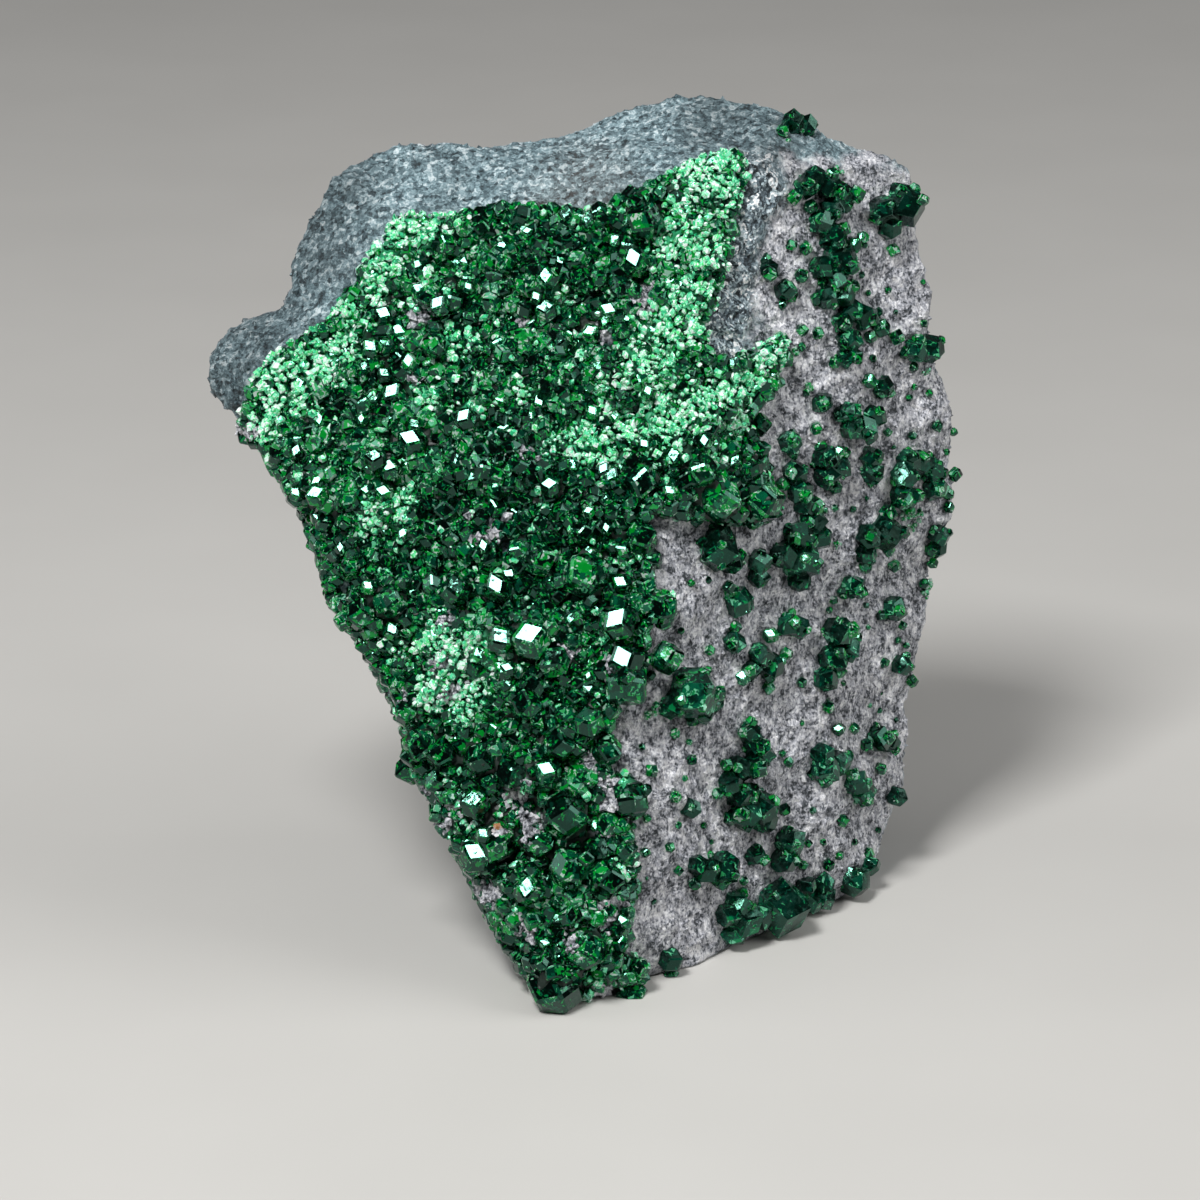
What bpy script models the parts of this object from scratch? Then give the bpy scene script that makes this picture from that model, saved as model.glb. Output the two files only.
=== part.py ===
"""Uvarovite garnet cluster: a broken block of chromite rock that stands on its narrow foot.

Its front face carries a crust of small green garnets, and its right face is dotted with larger ones,
single and grown together. Lengths are worked out in millimetres from the front tip of the foot and set
in metres at the end, with +Z up, the crusted face towards -Y, and the origin under the middle of the piece.
"""

import math
import random

import bmesh
import bpy
from mathutils import Euler, Vector, noise
from mathutils.bvhtree import BVHTree

MM = 0.001
SEED = 34
GAP = 0.2                    # between the rock and each garnet piece
ORIGIN = Vector((1.31, 13.715, 0.0))

# The rock: how rough its breaks are, and how many flat facets they are drawn with
ROCK_CELL = 0.6
ROCK_FACES = 1150
SWELLS = [(9.0, 0.65), (3.8, 0.38), (1.7, 0.16)]      # length of a swell, and how far it moves the surface
BELOW_FOOT = 1.0             # the lumps run on below the foot, which is then cut flat

# The crust of garnets on the front face
CRUST_CELL = 1.42            # spacing of its small crystals
CRUST_DEPTH = 0.6            # thickness between them
CRUST_RELIEF = 0.9           # how much further the tallest of them stand out
CRUST_JITTER = 0.3           # how far they stray sideways, as a share of their spacing
CRUST_REACH = (-8.0, 4.0)    # how far in front of and behind the foot's tip it runs

# Single crystals, in the crust and on the right face
STANDS_PROUD = 0.24          # height of a crystal's centre over the rock, as a share of its width
GROWN_TOGETHER = 0.74        # spacing of crystals in a group, as a share of their mean width
WIDTH_IN_EDGES = 3.3         # a rhombic dodecahedron seen from any side, in half cube edges

# Where the piece is seen from: 20 degrees down, in a square view 1200 pixels across
VIEW_DOWN = math.radians(20.0)
VIEW_DISTANCE = 260.0
PIXEL = 0.052                # at the distance of the foot's front tip
VIEW_CENTRE = (600, 600)
FOOT_SEEN_AT = (560, 1015)

# Corners of the lumps that the block is made of, as millimetres right, back and up from the foot's tip
ROCK_LUMPS = {
    "block": [
        (0.8, 1.3, 0.0), (5.6, 5.8, 0.0), (10.0, 9.0, 0.0), (14.8, 14.6, 0.0), (16.6, 17.8, 0.0),
        (15.5, 22.5, 0.0), (5.0, 24.0, 0.0), (-3.0, 17.5, 0.0), (-1.0, 3.5, 0.0),
        (-2.4, 3.0, 2.8), (-13.0, 10.2, 23.3), (-14.9, 11.7, 27.0), (-15.6, 13.4, 30.0),
        (2.8, 2.9, 5.3), (3.0, 4.4, 12.8), (4.5, 6.8, 20.4), (5.0, 8.8, 24.5), (9.2, 14.6, 35.5),
        (9.8, 16.6, 40.8), (-8.4, 16.4, 38.0), (-13.6, 19.8, 36.6), (-12.0, 21.2, 39.6),
        (-10.0, 22.5, 40.8), (-7.0, 23.5, 40.1), (6.4, 25.0, 41.2), (12.7, 23.0, 41.4), (19.0, 23.0, 39.5),
        (20.0, 22.4, 33.5), (20.2, 21.8, 30.4), (20.2, 21.6, 19.1), (18.9, 19.4, 5.0),
        (12.0, 28.0, 38.0), (-4.0, 27.0, 36.0), (-13.5, 22.0, 31.0), (-8.0, 24.5, 18.0),
        (17.5, 27.5, 34.0), (18.5, 26.5, 18.0), (6.0, 27.5, 12.0),
    ],
    "left_tip": [
        (-19.1, 15.0, 30.9), (-19.1, 15.4, 29.0), (-17.2, 13.2, 27.0), (-15.7, 13.3, 31.8),
        (-16.6, 17.5, 33.1), (-18.2, 18.5, 31.6), (-8.0, 13.0, 24.0), (-10.0, 20.0, 26.0),
        (-9.0, 19.0, 34.5), (-9.0, 14.0, 33.0), (-14.0, 21.0, 28.0),
    ],
    "crest": [
        (2.0, 22.5, 41.2), (6.2, 25.0, 42.9), (9.0, 24.8, 42.6), (12.4, 23.4, 42.4), (14.2, 21.8, 41.4),
        (4.0, 18.0, 39.5), (10.0, 17.0, 40.6), (8.0, 26.5, 40.0), (14.0, 24.0, 38.0), (-3.0, 24.0, 39.5),
        (6.0, 20.0, 30.0),
    ],
    "right_bulge": [
        (20.4, 21.8, 30.0), (21.7, 22.8, 24.6), (21.5, 21.8, 21.0), (19.6, 21.0, 14.5), (16.0, 18.0, 22.0),
        (14.0, 22.0, 24.0), (20.0, 26.0, 24.0), (17.0, 24.0, 16.0),
    ],
}

# Edge of the crusted area, in pixels of the view
CRUST_OUTLINE = [
    (250, 395), (285, 345), (330, 325), (375, 255), (400, 218), (455, 215), (530, 203), (575, 218),
    (610, 205), (660, 180), (700, 158), (738, 150), (742, 180), (728, 250), (705, 320), (700, 350),
    (735, 365), (785, 340), (775, 385), (745, 420), (765, 450), (770, 515), (700, 518), (650, 505),
    (640, 520), (655, 560), (648, 600), (650, 660), (612, 710), (595, 770), (625, 780), (625, 830),
    (640, 870), (635, 905), (622, 960), (600, 1010), (560, 1020), (540, 1000), (530, 980), (500, 940),
    (482, 900), (462, 860), (444, 830), (438, 805), (407, 755), (402, 720), (384, 682), (358, 640),
    (332, 606), (328, 580), (312, 535), (292, 500), (262, 450), (240, 430),
]

# Larger crystals of the crust: where each is seen, in pixels, and its width in millimetres
CRUST_CRYSTALS = [
    (706, 496, 2.4), (746, 499, 2.3), (690, 468, 1.8), (640, 485, 2.0), (590, 577, 2.4), (528, 634, 2.1),
    (498, 634, 1.9), (615, 618, 1.9), (650, 604, 1.7), (656, 656, 1.7), (625, 675, 2.4), (567, 813, 2.7),
    (545, 838, 2.0), (575, 866, 2.1), (526, 887, 1.9), (592, 945, 2.1), (560, 985, 2.9), (500, 838, 2.2),
    (482, 852, 1.9), (606, 880, 2.0), (425, 738, 1.9), (484, 752, 1.9), (360, 612, 1.8), (395, 602, 1.9),
    (435, 350, 1.8), (634, 256, 1.9), (546, 286, 1.9), (645, 220, 2.1), (382, 462, 1.8), (622, 795, 2.0),
    (534, 768, 2.0), (620, 984, 1.7),
]

# Garnets of the right face and the top edge, a solid for each group that has grown together
GARNETS = {
    "garnet_pair_top_edge": [(792, 127, 1.3), (806, 129, 1.1)],
    "garnet_cluster_top": [
        (802, 185, 1.3), (815, 175, 1.1), (829, 190, 1.4), (846, 205, 1.5), (829, 211, 1.3), (811, 229, 1.4),
        (837, 247, 1.5), (838, 271, 1.9), (813, 271, 1.3), (830, 291, 1.4), (847, 308, 1.2), (816, 312, 1.3),
        (856, 328, 1.3), (832, 333, 1.2), (880, 328, 1.5), (850, 350, 1.4), (843, 366, 1.1),
    ],
    "garnet_cluster_top_right": [(898, 205, 2.2), (871, 213, 1.6), (887, 232, 1.3)],
    "garnet_bead_ridge": [(767, 270, 1.1)],
    "garnet_bead_under_ridge": [(783, 291, 1.2)],
    "garnet_pair_right_edge": [(925, 347, 1.6), (909, 349, 1.3)],
    "garnet_bead_glint": [(880, 386, 1.1)],
    "garnet_bead_upper": [(821, 402, 1.1)],
    "garnet_cluster_upper": [(847, 411, 1.2), (849, 431, 1.3), (869, 428, 1.4), (878, 408, 1.2)],
    "garnet_bead_middle": [(788, 442, 1.3)],
    "garnet_cluster_middle": [(822, 456, 1.4), (823, 473, 1.4), (838, 466, 1.2)],
    "garnet_pair_middle": [(868, 457, 1.2), (868, 472, 1.3)],
    "garnet_cluster_right_edge": [
        (905, 460, 1.3), (900, 475, 1.5), (928, 466, 1.3), (943, 477, 1.5), (900, 495, 1.6), (932, 494, 1.4),
    ],
    "garnet_cluster_heart": [
        (793, 472, 1.3), (797, 494, 1.4), (808, 514, 1.3), (811, 531, 1.5), (821, 546, 1.4), (791, 538, 1.6),
        (796, 560, 2.0), (779, 553, 1.5), (796, 585, 1.2),
    ],
    "garnet_cluster_ridge": [(713, 551, 2.1), (716, 536, 1.4), (734, 566, 1.3)],
    "garnet_pair_under_ridge": [(755, 560, 1.3), (756, 576, 1.1)],
    "garnet_bead_centre_left": [(735, 601, 1.5)],
    "garnet_bead_centre": [(732, 643, 1.2)],
    "garnet_cluster_pale": [(880, 531, 1.9), (857, 538, 1.4), (862, 554, 1.2)],
    "garnet_pair_right_edge_low": [(936, 533, 1.2), (933, 550, 1.1)],
    "garnet_bead_right_upper": [(850, 585, 1.3)],
    "garnet_bead_right": [(890, 608, 1.4)],
    "garnet_pair_centre": [(785, 624, 1.3), (803, 628, 1.2)],
    "garnet_cluster_centre": [(755, 656, 1.4), (771, 670, 1.5), (744, 674, 1.1)],
    "garnet_cluster_centre_right": [(834, 631, 1.7), (846, 655, 1.5), (821, 665, 1.7), (818, 686, 1.4)],
    "garnet_rosette": [(685, 690, 2.7), (714, 702, 1.6), (668, 706, 1.3), (697, 712, 1.3)],
    "garnet_bead_right_low": [(898, 664, 1.2)],
    "garnet_pair_right_low": [(875, 739, 1.4), (889, 742, 1.2)],
    "garnet_wedge": [(821, 769, 1.6), (820, 753, 1.2), (836, 762, 1.3)],
    "garnet_pair_low": [(852, 783, 1.4), (867, 802, 1.4)],
    "garnet_bead_edge_low": [(893, 795, 1.2)],
    "garnet_cluster_low": [
        (746, 732, 1.2), (752, 747, 1.3), (770, 763, 1.1), (750, 767, 1.4), (732, 769, 1.4), (722, 787, 1.4),
        (738, 795, 1.5), (741, 813, 1.8), (769, 801, 1.7), (761, 820, 1.3),
    ],
    "garnet_bead_low_left": [(688, 808, 1.1)],
    "garnet_cluster_low_left": [(718, 867, 1.8), (694, 871, 1.4), (682, 858, 1.1)],
    "garnet_bead_low": [(753, 855, 1.1)],
    "garnet_pair_foot": [(786, 840, 1.6), (780, 862, 1.4)],
    "garnet_bead_foot": [(803, 884, 1.1)],
    "garnet_chain_foot_right": [(821, 881, 1.2), (818, 900, 1.4), (810, 919, 1.3)],
    "garnet_large_foot_right": [(848, 889, 1.8)],
    "garnet_bead_foot_right": [(867, 863, 1.1)],
    "garnet_cluster_foot": [
        (771, 927, 2.9), (771, 904, 1.9), (752, 915, 1.5), (716, 922, 2.0), (706, 908, 1.3), (733, 905, 1.5),
        (729, 944, 1.3),
    ],
    "garnet_bead_foot_left": [(668, 970, 1.4)],
}


def clear_scene():
    for thing in list(bpy.data.objects):
        bpy.data.objects.remove(thing, do_unlink=True)


def finish(name, colour, roughness, transmission=0.0):
    """A material of one colour, as a linear red, green and blue."""
    made = bpy.data.materials.new(name)
    made.use_nodes = True
    shader = made.node_tree.nodes["Principled BSDF"]
    shader.inputs["Base Color"].default_value = (*colour, 1.0)
    shader.inputs["Roughness"].default_value = roughness
    shader.inputs["Transmission Weight"].default_value = transmission
    made.diffuse_color = (*colour, 1.0)
    return made


def helper(name, shape):
    """An object that only lends its shape, made from a bmesh."""
    mesh = bpy.data.meshes.new(name)
    shape.to_mesh(mesh)
    shape.free()
    thing = bpy.data.objects.new(name, mesh)
    thing.hide_render = True
    thing.display_type = "WIRE"
    bpy.context.scene.collection.objects.link(thing)
    return thing


def drop(things):
    for thing in things:
        bpy.data.objects.remove(thing, do_unlink=True)


def evaluated(thing):
    """The bmesh of an object with its modifiers applied."""
    graph = bpy.context.evaluated_depsgraph_get()
    shape = bmesh.new()
    shape.from_object(thing, graph)
    return shape


def boolean(thing, operation, other):
    """Adds a Boolean with an object, or with every object of a collection."""
    cut = thing.modifiers.new(operation.lower(), "BOOLEAN")
    cut.operation = operation
    cut.solver = "EXACT"
    if isinstance(other, bpy.types.Collection):
        cut.operand_type = "COLLECTION"
        cut.collection = other
    else:
        cut.object = other


def view_axes():
    right = Vector((1.0, 0.0, 0.0))
    up = Vector((0.0, math.sin(VIEW_DOWN), math.cos(VIEW_DOWN)))
    ahead = Vector((0.0, math.cos(VIEW_DOWN), -math.sin(VIEW_DOWN)))
    return right, up, ahead


def view_centre():
    """The point at the middle of the view, in the upright plane of the foot's tip."""
    right, up, _ = view_axes()
    across = (VIEW_CENTRE[0] - FOOT_SEEN_AT[0]) * PIXEL
    rise = (FOOT_SEEN_AT[1] - VIEW_CENTRE[1]) * PIXEL
    return right * across + up * rise


def sight_line(x, y):
    """The eye, and the direction from it through a pixel."""
    right, up, ahead = view_axes()
    eye = view_centre() - ahead * VIEW_DISTANCE
    aim = right * (x - VIEW_CENTRE[0]) * PIXEL + up * (VIEW_CENTRE[1] - y) * PIXEL + ahead * VIEW_DISTANCE
    return eye, aim.normalized()


def lump(name, corners):
    """The convex block that spans the corners; those of the foot are set lower, to be cut off flat."""
    shape = bmesh.new()
    for right, back, up in corners:
        shape.verts.new((right, back, up if up > 0.0 else -BELOW_FOOT))
    spanned = bmesh.ops.convex_hull(shape, input=shape.verts)
    bmesh.ops.delete(shape, geom=spanned["geom_interior"], context="VERTS")
    return helper(name, shape)


def swell(point):
    """How far the broken surface stands out from its plain form at a point."""
    return sum(
        height * noise.noise(point / length + Vector((SEED, length, 0.0))) for length, height in SWELLS
    )


def block(cell):
    """The lumps joined into one closed mesh of even cells, and roughened."""
    lumps = [lump(name, corners) for name, corners in ROCK_LUMPS.items()]
    whole = lumps[0]
    for other in lumps[1:]:
        boolean(whole, "UNION", other)
    remesh = whole.modifiers.new("even", "REMESH")
    remesh.mode = "VOXEL"
    remesh.voxel_size = cell
    even = evaluated(whole)
    drop(lumps)
    even.normal_update()
    moves = [vertex.normal * swell(vertex.co) for vertex in even.verts]
    for vertex, move in zip(even.verts, moves):
        vertex.co += move
    bmesh.ops.triangulate(even, faces=even.faces)
    even.normal_update()
    return even


def rock():
    """The block of rock: drawn with flat facets and cut flat at the foot."""
    even = block(ROCK_CELL)
    share = ROCK_FACES / len(even.faces)
    rough = helper("rough", even)
    rough.modifiers.new("facets", "DECIMATE").ratio = share
    shape = evaluated(rough)
    drop([rough])
    whole = shape.verts[:] + shape.edges[:] + shape.faces[:]
    cut = bmesh.ops.bisect_plane(shape, geom=whole, plane_co=(0, 0, 0), plane_no=(0, 0, 1), clear_inner=True)
    rim = [part for part in cut["geom_cut"] if isinstance(part, bmesh.types.BMEdge)]
    bmesh.ops.contextual_create(shape, geom=rim)
    bmesh.ops.triangulate(shape, faces=shape.faces)
    bmesh.ops.recalc_face_normals(shape, faces=shape.faces)
    shape.normal_update()
    return shape


def grown(shape, distance):
    """A copy of the rock, larger by a distance on every side."""
    copy = shape.copy()
    copy.normal_update()
    for vertex, normal in [(vertex, vertex.normal.copy()) for vertex in copy.verts]:
        vertex.co += normal * distance
    return copy


def crystal(centre, width, turn):
    """A garnet crystal: a rhombic dodecahedron, kept above the level of the foot."""
    unit = width / WIDTH_IN_EDGES
    shape = bmesh.new()
    corners = {}
    for axis in range(3):
        for first in (-1, 1):
            for second in (-1, 1):
                a, b = (axis + 1) % 3, (axis + 2) % 3
                ring = []
                for along_a, along_b, along_axis in ((2, 0, 0), (1, 1, 1), (0, 2, 0), (1, 1, -1)):
                    key = [0, 0, 0]
                    key[a], key[b], key[axis] = first * along_a, second * along_b, along_axis
                    key = tuple(key)
                    if key not in corners:
                        corners[key] = shape.verts.new(Vector(key) * unit)
                    ring.append(corners[key])
                shape.faces.new(ring)
    bmesh.ops.rotate(shape, verts=shape.verts, cent=(0, 0, 0), matrix=turn.to_matrix())
    lowest = min(vertex.co.z for vertex in shape.verts)
    lift = max(0.0, GAP - lowest - centre.z)
    bmesh.ops.translate(shape, verts=shape.verts, vec=centre + Vector((0, 0, lift)))
    bmesh.ops.recalc_face_normals(shape, faces=shape.faces)
    return shape


def any_turn(dice):
    return Euler([dice.uniform(0, 2 * math.pi) for _ in range(3)])


def seat(surface, x, y, width, bed=0.0):
    """The centre of a crystal that sits on the rock, or on a bed over it, where a pixel shows it."""
    point = None
    while point is None:
        eye, aim = sight_line(x, y)
        point, normal, _, _ = surface.ray_cast(eye, aim)
        x += (VIEW_CENTRE[0] - x) * 0.01
        y += (VIEW_CENTRE[1] - y) * 0.01
    return point + normal * (bed + width * STANDS_PROUD)


def draw_together(seats):
    """Moves each crystal of a group in until it meets the nearest one before it."""
    met = seats[:1]
    for place, width in seats[1:]:
        other, size = min(met, key=lambda one: (one[0] - place).length - one[1] / 2)
        way = place - other
        reach = GROWN_TOGETHER * (width + size) / 2
        met.append((other + way * min(1.0, reach / way.length), width))
    return met


def drop_flakes(shape):
    """Keeps the largest body of a shape, without the flakes that a cut has left loose."""
    waiting = set(shape.faces)
    bodies = []
    while waiting:
        body, reached = [], [waiting.pop()]
        while reached:
            face = reached.pop()
            body.append(face)
            sound = [edge for edge in face.edges if len(edge.link_faces) == 2]
            near = {other for edge in sound for other in edge.link_faces} & waiting
            waiting -= near
            reached.extend(near)
        bodies.append(body)
    bodies.sort(key=len)
    bmesh.ops.delete(shape, geom=[face for body in bodies[:-1] for face in body], context="FACES")


def join(name, shapes, keep_out):
    """One solid of all the shapes, cut clear of the rock."""
    solid = helper(name, shapes[0])
    others = bpy.data.collections.new(name + "_others")
    for number, shape in enumerate(shapes[1:]):
        other = helper(f"{name}_{number}", shape)
        bpy.context.scene.collection.objects.unlink(other)
        others.objects.link(other)
    bpy.context.scene.collection.children.link(others)
    if len(shapes) > 1:
        boolean(solid, "UNION", others)
    boolean(solid, "DIFFERENCE", keep_out)
    joined = evaluated(solid)
    drop_flakes(joined)
    drop([solid, *others.objects])
    bpy.data.collections.remove(others)
    return joined


def crust_area():
    """A prism along the line of sight over the crusted area, from in front of the rock to just inside it."""
    eye, _ = sight_line(*VIEW_CENTRE)
    ahead = view_axes()[2]
    prism = bmesh.new()
    rings = []
    for depth in CRUST_REACH:
        ring = []
        for x, y in CRUST_OUTLINE:
            aim = sight_line(x, y)[1]
            ring.append(prism.verts.new(eye + aim * (VIEW_DISTANCE + depth) / aim.dot(ahead)))
        rings.append(ring)
        prism.faces.new(ring)
    near, far = rings
    for number in range(len(near)):
        after = (number + 1) % len(near)
        prism.faces.new((near[number], near[after], far[after], far[number]))
    bmesh.ops.triangulate(prism, faces=prism.faces)
    bmesh.ops.recalc_face_normals(prism, faces=prism.faces)
    return prism


def crust_bed(dice):
    """The crust of small crystals: a skin over the rock whose every point stands out by its own amount."""
    skin = block(CRUST_CELL)
    moves = []
    for vertex in skin.verts:
        aside = Vector([dice.uniform(-1, 1) for _ in range(3)]) * CRUST_CELL * CRUST_JITTER
        moves.append(vertex.normal * (CRUST_DEPTH + CRUST_RELIEF * dice.random()) + aside)
    for vertex, move in zip(skin.verts, moves):
        vertex.co += move
        vertex.co.z = max(vertex.co.z, GAP)
    bed = helper("bed", skin)
    area = helper("area", crust_area())
    boolean(bed, "INTERSECT", area)
    made = evaluated(bed)
    drop([bed, area])
    return made


def crust(surface, keep_out):
    """The crust of the front face, with its larger crystals where they are seen."""
    dice = random.Random(SEED)
    shapes = [crust_bed(dice)]
    for x, y, width in CRUST_CRYSTALS:
        shapes.append(crystal(seat(surface, x, y, width, CRUST_DEPTH), width, any_turn(dice)))
    return join("garnet_druse", shapes, keep_out)


def show(name, shape, material):
    """Puts a finished solid in the scene, in metres from the origin."""
    bmesh.ops.triangulate(shape, faces=shape.faces)
    for vertex in shape.verts:
        vertex.co = (vertex.co - ORIGIN) * MM
    mesh = bpy.data.meshes.new(name)
    shape.to_mesh(mesh)
    shape.free()
    mesh.materials.append(material)
    thing = bpy.data.objects.new(name, mesh)
    bpy.context.scene.collection.objects.link(thing)


def build():
    clear_scene()
    chromite = finish("chromite rock", (0.24, 0.24, 0.26), 0.75)
    garnet = finish("uvarovite garnet", (0.004, 0.11, 0.035), 0.12, 0.4)
    shape = rock()
    surface = BVHTree.FromBMesh(shape)
    keep_out = helper("rock_with_gap", grown(shape, GAP))
    druse = crust(surface, keep_out)
    dice = random.Random(SEED + 1)
    solids = {}
    for name, seen in GARNETS.items():
        seats = draw_together([(seat(surface, x, y, width), width) for x, y, width in seen])
        crystals = [crystal(place, width, any_turn(dice)) for place, width in seats]
        solids[name] = join(name, crystals, keep_out)
    drop([keep_out])
    show("chromite_matrix", shape, chromite)
    show("garnet_druse", druse, garnet)
    for name, solid in solids.items():
        show(name, solid, garnet)


build()
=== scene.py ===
"""The uvarovite garnet cluster as it looks: a broken block of grey chromite with a crust of green garnets.

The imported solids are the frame. The rock gets its grain, the front face its coat of small crystals, and the
right face its single garnets. Shapes are worked out in millimetres, and a finished piece is set in metres.
"""

import math
import random

import bmesh
import bpy
import numpy as np
from mathutils import Euler, Matrix, Quaternion, Vector, noise
from mathutils.bvhtree import BVHTree


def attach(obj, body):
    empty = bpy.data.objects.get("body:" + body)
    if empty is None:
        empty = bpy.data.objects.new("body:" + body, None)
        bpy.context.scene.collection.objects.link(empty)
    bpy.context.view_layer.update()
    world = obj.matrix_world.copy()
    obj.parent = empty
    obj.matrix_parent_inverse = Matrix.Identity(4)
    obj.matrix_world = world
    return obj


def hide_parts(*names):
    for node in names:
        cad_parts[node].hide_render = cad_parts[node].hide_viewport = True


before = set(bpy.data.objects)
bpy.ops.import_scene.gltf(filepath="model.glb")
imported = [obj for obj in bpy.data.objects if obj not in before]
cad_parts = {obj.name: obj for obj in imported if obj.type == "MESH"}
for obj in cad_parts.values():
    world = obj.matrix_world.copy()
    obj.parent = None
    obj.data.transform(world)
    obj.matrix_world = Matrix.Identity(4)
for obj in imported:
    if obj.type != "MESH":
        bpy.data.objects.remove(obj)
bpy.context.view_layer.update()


# The studio
# A pale matt table top under a soft light from the upper left, with weak ones to fill the other sides. The
# camera looks 20 degrees down at the piece from 260 mm, so that its square frame is 62.4 mm across.

MM = 0.001
VIEW_DOWN = math.radians(20.0)
VIEW_DISTANCE = 260.0
FRAME_WIDTH = 62.4
SENSOR = 36.0
AIM = Vector((0.77, -6.334, 20.279))    # the point at the middle of the frame
AHEAD = Vector((0.0, math.cos(VIEW_DOWN), -math.sin(VIEW_DOWN)))
EYE = AIM - AHEAD * VIEW_DISTANCE
KEY_AZIMUTH = -28.0
KEY_ELEVATION = 55.0
FILL_DISTANCE = 430.0
TABLE_REACH = 6.0    # metres from the middle of the table top to its edges


def towards(azimuth, elevation):
    """The direction to a place round the piece: azimuth 0 is in front of it and 90 to its right."""
    a, e = math.radians(azimuth), math.radians(elevation)
    return Vector((math.sin(a) * math.cos(e), -math.cos(a) * math.cos(e), math.sin(e)))


def softbox(name, azimuth, elevation, distance, side, radiance):
    """A square soft light, its distance and side in millimetres, that faces the piece."""
    lamp = bpy.data.lights.new(name, "AREA")
    lamp.shape = "SQUARE"
    lamp.size = side * MM
    lamp.energy = radiance * math.pi * (side * MM) ** 2
    thing = bpy.data.objects.new(name, lamp)
    way = towards(azimuth, elevation)
    thing.location = (AIM + way * distance) * MM
    thing.rotation_euler = way.to_track_quat("Z", "Y").to_euler()
    bpy.context.scene.collection.objects.link(thing)


def linear(colour):
    """An sRGB hex colour as linear red, green, blue and alpha."""
    parts = [int(colour[at:at + 2], 16) / 255 for at in (1, 3, 5)]
    return (*[part / 12.92 if part <= 0.04045 else ((part + 0.055) / 1.055) ** 2.4 for part in parts], 1.0)


def add(tree, kind, sockets=None, stops=(), **settings):
    """Adds a node with its settings and links. An input takes a plain value, an output or a node, and of a
    node its first output. Stops are the places and sRGB colours of a ramp."""
    made = tree.nodes.new(kind)
    for name, value in settings.items():
        setattr(made, name, value)
    for name, value in (sockets or {}).items():
        if isinstance(value, bpy.types.Node):
            value = value.outputs[0]
        if isinstance(value, bpy.types.NodeSocket):
            tree.links.new(value, made.inputs[name])
        else:
            made.inputs[name].default_value = value
    if stops:
        while len(made.color_ramp.elements) < len(stops):
            made.color_ramp.elements.new(0.5)
        for element, (at, colour) in zip(made.color_ramp.elements, stops):
            element.position = at
            element.color = linear(colour)
    return made


def finish(name):
    """An empty material and its node tree."""
    made = bpy.data.materials.new(name)
    made.use_nodes = True
    made.node_tree.nodes.clear()
    return made, made.node_tree


camera = bpy.data.cameras.new("camera")
camera.sensor_width = SENSOR
camera.lens = SENSOR * VIEW_DISTANCE / FRAME_WIDTH
camera.clip_start = 10 * MM
eye = bpy.data.objects.new("camera", camera)
eye.location = EYE * MM
eye.rotation_euler = (math.pi / 2 - VIEW_DOWN, 0.0, 0.0)
bpy.context.scene.collection.objects.link(eye)
bpy.context.scene.camera = eye

softbox("key_light", KEY_AZIMUTH, KEY_ELEVATION, 360.0, side=95.0, radiance=48.0)
softbox("right_light", 80.0, 32.0, FILL_DISTANCE, side=300.0, radiance=3.2)
softbox("left_light", -88.0, 30.0, FILL_DISTANCE, side=200.0, radiance=2.5)
softbox("top_light", 8.0, 78.0, FILL_DISTANCE, side=330.0, radiance=0.7)

world = bpy.data.worlds.new("studio")
world.use_nodes = True
world.node_tree.nodes["Background"].inputs["Color"].default_value = linear("#e4ebf0")
world.node_tree.nodes["Background"].inputs["Strength"].default_value = 0.05
bpy.context.scene.world = world
bpy.context.scene.view_settings.view_transform = "Standard"

# painted board: one even warm grey with no gloss, only just clouded
table_finish, tree = finish("matt pale table top")
clouds = add(tree, "ShaderNodeTexNoise", {
    "Vector": add(tree, "ShaderNodeTexCoord").outputs["Object"], "Scale": 60.0,
})
tone = add(tree, "ShaderNodeMix", {0: clouds, 6: linear("#bfbdb9"), 7: linear("#c6c4c0")}, data_type="RGBA")
shader = add(tree, "ShaderNodeBsdfPrincipled", {"Base Color": tone.outputs[2], "Roughness": 0.6})
add(tree, "ShaderNodeOutputMaterial", {"Surface": shader})

top = bmesh.new()
bmesh.ops.create_grid(top, x_segments=1, y_segments=1, size=TABLE_REACH)
mesh = bpy.data.meshes.new("table_top")
top.to_mesh(mesh)
top.free()
mesh.materials.append(table_finish)
table_top = bpy.data.objects.new("table_top", mesh)
bpy.context.scene.collection.objects.link(table_top)


# The rock
# Chromite with a pale serpentine skin on its right face, broken by hand: its grains are about a quarter of a
# millimetre across and slightly metallic. It is the solid's own shape, remeshed finely and roughened.
# Patches and outlines lie in pixels of the 1200 pixel frame, and a surface point is traced back to it.

MIDDLE = 600           # of the frame, in pixels
PIXEL = FRAME_WIDTH / (2 * MIDDLE)
RIGHT = Vector((1.0, 0.0, 0.0))
UP = Vector((0.0, math.sin(VIEW_DOWN), math.cos(VIEW_DOWN)))
ROCK_CELL = 0.236      # spacing of the mesh
SMOOTHINGS = 14        # passes that melt the solid's flat faces into each other
BREAK_SWELLS = [(2.6, 0.16), (1.1, 0.17), (0.55, 0.12)]    # length of a swell, and its height
GRAIN = 0.42           # width of a knot of grains
GRAIN_RELIEF = 0.16    # how far it stands out
GRAIN_FLAT = 0.6       # how far in from its joints, as a share of its width, it is flat on top
RUGGED = 0.45          # how much rougher the dark band is
RUGGED_LENGTH = 0.8    # length of a swell there
FOOT_KEPT = 0.5        # height over which the break fades out towards the flat foot
BAND_EDGE = 14         # width of the dark band's soft edge, in pixels
SKIN_EDGE = 16         # width of the pale skin's soft edge, in pixels
SKIN_WANDER = 26       # how far that edge wanders, in pixels
WANDER_LENGTH = 1.6    # length of its swings
RUST = 0.07            # how strongly rust tints the top
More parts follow.
